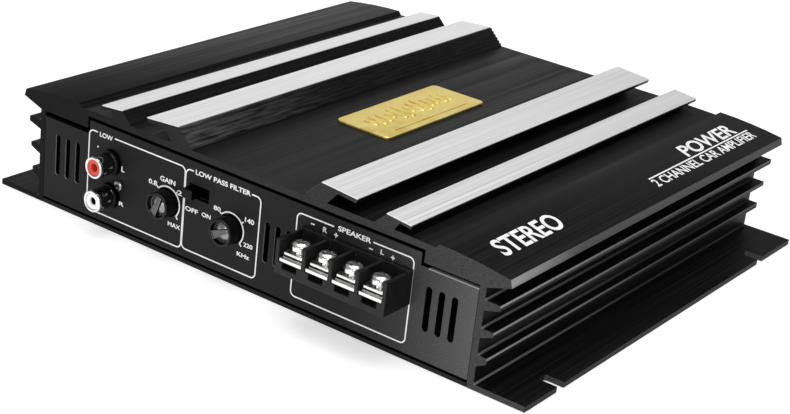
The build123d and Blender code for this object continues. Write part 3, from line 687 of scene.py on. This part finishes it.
def panel_lines():
    bm = bmesh.new()
    frame_line(bm, -76.4, -28.2, 5.3, 37.3, (-72.2, -63.4))
    frame_line(bm, -27.8, 7.4, 5.8, 37.05, (-24.2, 3.1))
    frame_line(bm, 23.8, 73.6, 5.8, 37.4, (39.7, 56.5))
    for x, middle_tick in ((GAIN_X, 40), (LOWPASS_X, 52)):
        ribbon(bm, arc_points((x, KNOB_Z), DIAL_R, DIAL_START, DIAL_END), DIAL_LINE, panel_point)
        for angle in (DIAL_START, middle_tick, DIAL_END):
            inner = arc_points((x, KNOB_Z), DIAL_R + 0.2, angle, angle, 1)[0]
            outer = arc_points((x, KNOB_Z), TICK_R, angle, angle, 1)[0]
            ribbon(bm, [inner, outer], DIAL_LINE, panel_point)
    ribbon(bm, [(-72.1, 31.6), (-71.5, 31.6)], 0.6, panel_point)
    from_bmesh("front_panel_lines", bm, "white_plastic", material=INK_WHITE)


FRONT_LABELS = (                # text, x from and to, z from and to
    ("LOW", -71.1, -64.5, 35.9, 37.8),
    ("LOW PASS FILTER", -23.3, 2.6, 36.1, 38.0),
    ("SPEAKER", 41.5, 55.6, 36.5, 38.4),
    ("GAIN", -40.0, -32.6, 28.4, 30.4),
    ("0.8", -45.5, -41.4, 25.6, 27.5),
    ("2", -31.3, -29.1, 25.6, 27.5),
    ("MAX", -35.0, -28.9, 12.2, 13.9),
    ("OFF", -27.1, -21.0, 21.0, 22.8),
    ("ON", -19.1, -14.9, 21.2, 22.9),
    ("80", -13.8, -10.5, 25.7, 27.4),
    ("140", 0.9, 5.1, 25.8, 27.7),
    ("220", 1.1, 5.3, 16.4, 18.1),
    ("KHz", -1.6, 4.2, 12.0, 13.6),
    ("L", -59.4, -57.8, 25.6, 27.7),
    ("R", -59.8, -57.3, 11.9, 13.5),
    ("R", 35.2, 37.0, 33.9, 35.8),
    ("L", 59.8, 61.2, 34.3, 36.0),
)


def sign_marks(bm, places, to_point):
    """Polarity marks: a bar, with a second one across it for plus."""
    for x, z, plus in places:
        ribbon(bm, [(x - 0.8, z), (x + 0.8, z)], SIGN_LINE, to_point)
        if plus:
            for side in (-1, 1):
                ribbon(bm, [(x, z + side * 0.25), (x, z + side * 0.85)], SIGN_LINE, to_point)


def panel_letters():
    bm = bmesh.new()
    for text, x0, x1, z0, z1 in FRONT_LABELS:
        lettering(bm, text, x0, x1, z0, z1, panel_point, weight=0.022)
    signs = ((30.7, 35.2, False), (40.9, 34.6, True), (55.8, 34.7, False), (65.0, 34.7, True))
    sign_marks(bm, signs, panel_point)
    from_bmesh("front_panel_letters", bm, "white_plastic", material=INK_WHITE)


WING_ARC = ((82.6, 45.8), (96.8, 45.0), (110.7, 43.2))      # crown of the right shoulder, (x, z)


def circle_through(a, b, c):
    """Centre and radius of the circle through three points."""
    d = 2 * (a[0] * (b[1] - c[1]) + b[0] * (c[1] - a[1]) + c[0] * (a[1] - b[1]))
    squares = [p[0] ** 2 + p[1] ** 2 for p in (a, b, c)]
    x = (squares[0] * (b[1] - c[1]) + squares[1] * (c[1] - a[1]) + squares[2] * (a[1] - b[1])) / d
    z = (squares[0] * (c[0] - b[0]) + squares[1] * (a[0] - c[0]) + squares[2] * (b[0] - a[0])) / d
    return x, z, math.hypot(a[0] - x, a[1] - z)


WING_X, WING_Z, WING_R = circle_through(*WING_ARC)


def wing_point(along, down, lift=0.0):
    """A point on the right shoulder: along runs back from the front end, down runs from x = 0 outwards."""
    x = -down
    z = WING_Z + math.sqrt(WING_R ** 2 - (x - WING_X) ** 2)
    return Vector((x, FRONT + along, z + lift + 0.01))


WING_LABELS = (                 # text, along from and to, down from and to, slant, weight
    ("STEREO", 12.0, 51.5, -101.3, -91.7, 0.35, 0.02),
    ("POWER", 146.0, 189.0, -97.9, -90.0, 0.35, 0.02),
    ("2 CHANNEL CAR AMPLIFIER", 110.0, 193.0, -104.5, -99.8, 0.25, 0.012),
)


def wing_letters():
    bm = bmesh.new()
    for text, x0, x1, z0, z1, slant, weight in WING_LABELS:
        lettering(bm, text, x0, x1, z0, z1, wing_point, slant=slant, weight=weight)
    ribbon(bm, [(112.0, -98.9), (194.5, -98.9)], RULE_LINE, wing_point)
    from_bmesh("shoulder_letters", bm, "white_plastic", material=INK_WHITE)


# ---------------------------------------------------------------- pieces finer than their CAD solids
THREAD_PITCH = 0.6


def make_knob(node, body, pointer):
    """Dished knob with a hollow-topped grip, narrow end towards pointer, in degrees clockwise from up."""
    centre = middle(node)
    bm = bmesh.new()
    side = [(0, -0.9), (5.05, -0.9), (5.1, 0.4), (5.1, 5.3), (5.02, 5.68), (4.8, 5.93), (4.55, 6.0)]
    dish = [(4.36, 5.93), (4.24, 5.7), (4.14, 4.9), (4.02, 4.2)]
    dish += [(3.8, 4.05), (2.4, 4.65), (1.0, 5.15), (0, 5.3)]
    lathe(bm, side + dish, UPRIGHT, 64)
    rings = []
    for inset, height in ((0.0, 4.5), (0.04, 5.6), (0.14, 5.86), (0.26, 5.92), (0.36, 5.86), (0.44, 5.6)):
        corners = [(0.68 - inset, 4.2 - inset), (-0.68 + inset, 4.2 - inset)]
        corners += [(-1.75 + inset, -4.05 + inset), (1.75 - inset, -4.05 + inset)]
        rings.append([(x, y, height) for x, y in rounded_polygon(corners, 0.5 - inset * 0.8)])
    loft(bm, rings, Matrix.Rotation(-math.radians(pointer), 4, "Z"))
    place(bm, axis_matrix((centre.x, FRONT, centre.z), (0, -1, 0)))
    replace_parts(from_bmesh(node + "_cap", bm, "knob_plastic", body), node)


def cross_cutter(half_x, half_y, width, low, high):
    cutter = bmesh.new()
    bar(cutter, -half_x, half_x, -width / 2, width / 2, low, high)
    bar(cutter, -width / 2, width / 2, -half_y, half_y, low, high)
    return cutter


def make_terminal_screw(node, body):
    """Crowned head with a slot and cross, a split spring washer and a cut thread."""
    low, high = box_mm(node)
    centre = (low + high) / 2
    seat = high.z - 3.9             # underside of the head
    head = bmesh.new()
    profile = [(0, 0.8), (1.7, 0.9), (3.25, 0.9), (3.5, 1.12), (3.5, 1.95), (3.42, 2.5), (3.15, 3.05)]
    profile += [(2.6, 3.5), (1.8, 3.78), (0.9, 3.88), (0, 3.9)]
    lathe(head, profile, UPRIGHT, 56)
    slot = bmesh.new()
    bar(slot, -4.0, 4.0, -0.5, 0.5, 2.5, 5.0)
    head = carved(head, slot)
    head = carved(head, cross_cutter(0.5, 2.1, 1.0, 2.2, 5.0))
    depth = seat - low.z
    thread = [(0, -depth), (1.2, -depth)]
    for turn in range(int((depth + 0.9) / THREAD_PITCH)):
        foot = -depth + 0.2 + turn * THREAD_PITCH
        thread += [(1.45, foot), (1.75, foot + 0.3)]
    thread += [(1.45, 0.85), (0, 0.85)]
    lathe(head, thread, UPRIGHT, 32)
    washer = ((1.9, 0.05), (2.98, 0.02), (3.1, 0.14), (3.1, 0.72), (2.98, 0.82), (1.9, 0.8))
    steps = 48
    rings = []
    for step in range(steps + 1):
        angle = math.radians(-80 + 344 * step / steps)
        rise = 0.06 * step / steps
        rings.append([(r * math.cos(angle), r * math.sin(angle), height + rise) for r, height in washer])
    loft(head, rings, UPRIGHT)
    place(head, axis_matrix((centre.x, centre.y, seat), (0, 0, 1)))
    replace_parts(from_bmesh(node + "_cut", head, "nickel", body), node)


def make_wire_clamp(node, body):
    """Clamp washer with round corners, a hole for its screw and a heel on the housing's side."""
    low, high = box_mm(node)
    centre = (low + high) / 2
    half = (high.x - low.x) / 2
    rear = 1 if centre.y > 0 else -1
    solid = bmesh.new()
    plate(solid, half, half, 0.6, 0.8, high.z - low.z, 0.18)
    hole = bmesh.new()
    lathe(hole, [(0, -1), (1.85, -1), (1.85, 3), (0, 3)], UPRIGHT, 32)
    solid = carved(solid, hole)
    heel = sorted((-rear * 2.9, -rear * half))
    bar(solid, -half + 0.3, half - 0.3, heel[0], heel[1], 0.0, 1.0)
    place(solid, axis_matrix((centre.x, centre.y, low.z), (0, 0, 1)))
    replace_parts(from_bmesh(node + "_pressed", solid, "nickel", body), node)


def make_jacks():
    """Shells with a rolled lip, dished coloured insulators, and tube centre contacts."""
    shells, lips, contacts = bmesh.new(), bmesh.new(), bmesh.new()
    mounts = {mount["name"]: mount["pos_m"] for mount in frame["record"]["mounts"]}
    for side, colour, tube_top in (("left", "red_plastic", 6.2), ("right", "white_plastic", 8.3)):
        x, _, z = (value / MM for value in mounts["signal_jack_" + side])
        where = axis_matrix((x, FRONT, z), (0, -1, 0))
        barrel = [(3.76, -8.4), (4.15, -8.4), (4.15, 1.9), (4.02, 2.1), (4.02, 2.5), (4.15, 2.7)]
        barrel += [(4.15, 8.5), (3.76, 8.5)]
        lathe(shells, barrel, where, 64, closed=True)
        lip = [(3.76, 8.5), (4.15, 8.5), (4.15, 9.2), (4.08, 9.48), (3.9, 9.6)]
        lip += [(3.4, 9.58), (3.2, 9.4), (3.15, 8.8)]
        lathe(lips, lip, where, 64, closed=True)
        core = bmesh.new()
        inside = [(1.9, -8.4), (3.7, -8.4), (3.7, 8.5), (3.12, 8.7), (3.1, 9.2), (2.95, 9.28)]
        inside += [(1.66, 9.1), (1.55, 8.9), (1.55, 4.2), (1.9, 4.1)]
        lathe(core, inside, where, 64, closed=True)
        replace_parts(from_bmesh(f"jack_{side}_insert", core, colour), "jack_insulator_" + side)
        tube = [(1.38, -7.6), (1.52, -7.6), (1.52, tube_top), (1.38, tube_top)]
        lathe(contacts, tube, where, 40, closed=True)
        lathe(contacts, [(0, -7.6), (1.6, -7.6), (1.6, -7.2), (0, -7.2)], where, 24)
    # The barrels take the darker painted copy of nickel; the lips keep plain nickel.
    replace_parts(from_bmesh("jack_shells_turned", shells, "nickel", material=NICKEL_PAINTED_DARK), "jack_shells")
    from_bmesh("jack_shell_lips", lips, "nickel")
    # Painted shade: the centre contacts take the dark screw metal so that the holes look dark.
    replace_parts(from_bmesh("jack_contacts_turned", contacts, "black_screw"), "jack_contacts")


def make_jack_screw():
    """Rounded head with a cross recess, and a cut thread."""
    centre = middle("jack_screw")
    head = bmesh.new()
    profile = [(0, -0.2), (1.4, -0.2), (1.4, 0), (1.9, 0), (2.0, 0.12), (2.0, 0.75), (1.86, 1.15)]
    lathe(head, profile + [(1.5, 1.4), (0.9, 1.49), (0, 1.5)], UPRIGHT, 48)
    head = carved(head, cross_cutter(1.3, 1.3, 0.62, 0.6, 3.0))
    shaft = [(0, -8.4), (1.1, -8.4), (1.4, -8.0)]
    for turn in range(13):
        shaft += [(1.15, -7.7 + turn * THREAD_PITCH), (1.4, -7.4 + turn * THREAD_PITCH)]
    lathe(head, shaft + [(1.15, 0.0), (0, 0.0)], UPRIGHT, 28)
    place(head, axis_matrix((centre.x, FRONT, centre.z), (0, -1, 0)))
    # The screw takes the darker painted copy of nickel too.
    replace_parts(from_bmesh("jack_screw_cut", head, "nickel", material=NICKEL_PAINTED_DARK), "jack_screw")


def make_badge():
    """Gold plate with a rounded edge, embossed with level bars like a sound meter's and a long rule beside
    them.
    """
    low, high = box_mm("badge_plate")
    centre = (low + high) / 2
    half_x, half_y = (high.x - low.x) / 2, (high.y - low.y) / 2
    top = high.z - low.z
    bm = bmesh.new()
    plate(bm, half_x, half_y, 2.4, 0.0, top, 0.3)
    for index in range(13):
        along = (index - 6) * 4.1
        reach = 2.2 + 4.6 * abs(math.sin(index * 0.93 + 0.5)) * (1 - abs(index - 6) / 11)
        plate(bm, reach, 1.15, 1.1, top - 0.1, top + 0.28, 0.26, Matrix.Translation((-1.6, along, 0)))
    plate(bm, 0.45, 24.5, 0.4, top - 0.1, top + 0.22, 0.2, Matrix.Translation((8.9, 0, 0)))
    place(bm, axis_matrix((centre.x, centre.y, low.z), (0, 0, 1)))
    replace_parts(from_bmesh("badge_embossed", bm, "gold_plate"), "badge_plate")


def make_fuse_cap(number):
    """Hollow grip of a blade fuse, open at its back."""
    node = f"fuse_cap_{number}"
    low, high = box_mm(node)
    centre = (low + high) / 2
    reach = high.y - low.y
    cap = bmesh.new()
    plate(cap, (high.x - low.x) / 2, (high.z - low.z) / 2, 0.7, 0.0, reach, 0.6)
    hollow = bmesh.new()
    bar(hollow, -1.5, 1.5, -5.5, 5.5, 4.0, reach + 1)
    cap = carved(cap, hollow)
    place(cap, axis_matrix((centre.x, low.y, centre.z), (0, 1, 0)))
    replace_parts(from_bmesh(f"fuse_{number}_cap", cap, "fuse_amber", f"fuse_{number}"), node)


SOFT_EDGES = {                  # radius of the rounded edges, in mm
    "heatsink_cover": 0.22, "wide_trim_strips": 0.12, "narrow_trim_strips": 0.12,
    "front_panel": 0.15, "rear_panel": 0.15, "base_cover": 0.2,
    "speaker_terminal_block": 0.3, "power_terminal_block": 0.3, "fuse_holder": 0.4,
    "speaker_contact_plates": 0.15, "power_contact_plates": 0.15,
    "jack_housing": 0.15, "filter_switch_slider": 0.2, "filter_switch_body": 0.15,
}


def soften_edges():
    """Real rounded edges that catch the light, on the CAD pieces that are not replaced."""
    for name, radius in SOFT_EDGES.items():
        obj = frame["nodes"][name]
        weld = obj.modifiers.new("weld", "WELD")
        weld.merge_threshold = 1e-6
        bevel = obj.modifiers.new("bevel", "BEVEL")
        bevel.width = radius * MM
        bevel.segments = 2
        bevel.limit_method = "ANGLE"
        bevel.angle_limit = math.radians(38)


# ---------------------------------------------------------------- rear print
TITLE_MARGIN = 0.7              # from the power terminal block's ends to its row of titles


def rear_point(across, z, lift=0.0):
    """Across runs to the right as seen from behind, so it is minus x."""
    return Vector((-across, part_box("rear_panel")[1].y / MM + lift, z))


def centred_letters(bm, text, at, width, z0, z1):
    lettering(bm, text, at - width / 2, at + width / 2, z0, z1, rear_point, weight=0.012)


def rear_letters():
    bm = bmesh.new()
    block_low, block_high = box_mm("power_terminal_block")
    pitch = (block_high.x - block_low.x - 2 * TITLE_MARGIN) / 3
    for index, (text, width) in enumerate((("GND", 5.2), ("REM", 5.2), ("+12V", 6.6))):
        centred_letters(bm, text, -block_high.x + TITLE_MARGIN + (index + 0.5) * pitch, width, 16.6, 18.4)
    centred_letters(bm, "FUSE", -middle("fuse_holder").x, 9.0, 35.6, 37.4)
    centred_letters(bm, "POWER", -middle("power_light").x, 10.4, 17.4, 19.2)
    from_bmesh("rear_panel_letters", bm, "white_plastic", material=INK_WHITE)


# ---------------------------------------------------------------- camera, floor and light
CAMERA_AT = (0.3646, -0.55216, 0.27815)
CAMERA_AZIMUTH, CAMERA_ELEVATION, CAMERA_ROLL = 33.754, 22.593, 6.692
LENS_MM, SENSOR_MM = 81.33, 36.0
FLOOR_DROP = 0.0002             # the floor is this far under the base


def make_camera():
    data = bpy.data.cameras.new("camera")
    data.lens, data.sensor_width = LENS_MM, SENSOR_MM
    camera = linked("camera", data)
    azimuth, elevation, roll = (math.radians(a) for a in (CAMERA_AZIMUTH, CAMERA_ELEVATION, CAMERA_ROLL))
    back = Vector((
        math.sin(azimuth) * math.cos(elevation), -math.cos(azimuth) * math.cos(elevation), math.sin(elevation)
    ))
    right = Vector((0, 0, 1)).cross(back).normalized()
    up = back.cross(right)
    tilted_right = math.cos(roll) * right + math.sin(roll) * up
    tilted_up = -math.sin(roll) * right + math.cos(roll) * up
    turn = Matrix((tilted_right, tilted_up, back)).transposed().to_4x4()
    camera.matrix_world = Matrix.Translation(CAMERA_AT) @ turn
    bpy.context.scene.camera = camera


def make_floor():
    bm = bmesh.new()
    bmesh.ops.create_grid(bm, x_segments=2, y_segments=2, size=6.0)
    mesh = bpy.data.meshes.new("floor")
    bm.to_mesh(mesh)
    bm.free()
    floor = linked("floor", mesh)
    floor.location.z = -FLOOR_DROP
    paint = Paint("floor_white", grey(0.60), roughness=0.8, Emission_Strength=0.56)
    paint.set("Emission Color", (1.0, 1.0, 1.0, 1.0))
    mesh.materials.append(paint.material)


def area_light(name, at, target, size, watts):
    data = bpy.data.lights.new(name, "AREA")
    data.shape = "RECTANGLE"
    data.size, data.size_y = size
    data.energy = watts
    light = linked(name, data)
    light.location = at
    light.rotation_mode = "QUATERNION"
    light.rotation_quaternion = (Vector(target) - Vector(at)).to_track_quat("-Z", "Y")


def make_light():
    world = bpy.data.worlds.new("studio")
    world.use_nodes = True
    background = world.node_tree.nodes["Background"]
    background.inputs["Color"].default_value = (1, 1, 1, 1)
    background.inputs["Strength"].default_value = 0.30
    bpy.context.scene.world = world
    area_light("top_softbox", (0.1, -0.1, 1.6), (0, 0, 0), (1.4, 1.4), 24)
    area_light("back_left_softbox", (-1.1, 1.35, 0.5), (0, 0, 0), (0.9, 0.5), 1.2)
    area_light("front_right_softbox", (0.75, -0.75, 0.5), (0.1, -0.1, 0.02), (0.35, 0.35), 2.4)
    area_light("front_strip_light", (0.05, -1.0, 0.14), (-0.02, -0.1, 0.02), (0.45, 0.26), 1.8)
    bpy.context.scene.view_settings.view_transform = "Standard"


# ---------------------------------------------------------------- assembly
make_camera()
make_floor()
make_light()
dress_cad_nodes()
panel_lines()
panel_letters()
wing_letters()
rear_letters()
make_knob("gain_knob", "gain_control", 25)
make_knob("lowpass_knob", "lowpass_control", 62)
make_jacks()
make_jack_screw()
make_badge()
for group, count in (("speaker", 4), ("power", 3)):
    for number in range(1, count + 1):
        make_terminal_screw(f"{group}_screw_{number}", f"{group}_screw_{number}_body")
        make_wire_clamp(f"{group}_clamp_{number}", f"{group}_clamp_{number}_body")
for number in (1, 2):
    make_fuse_cap(number)
soften_edges()
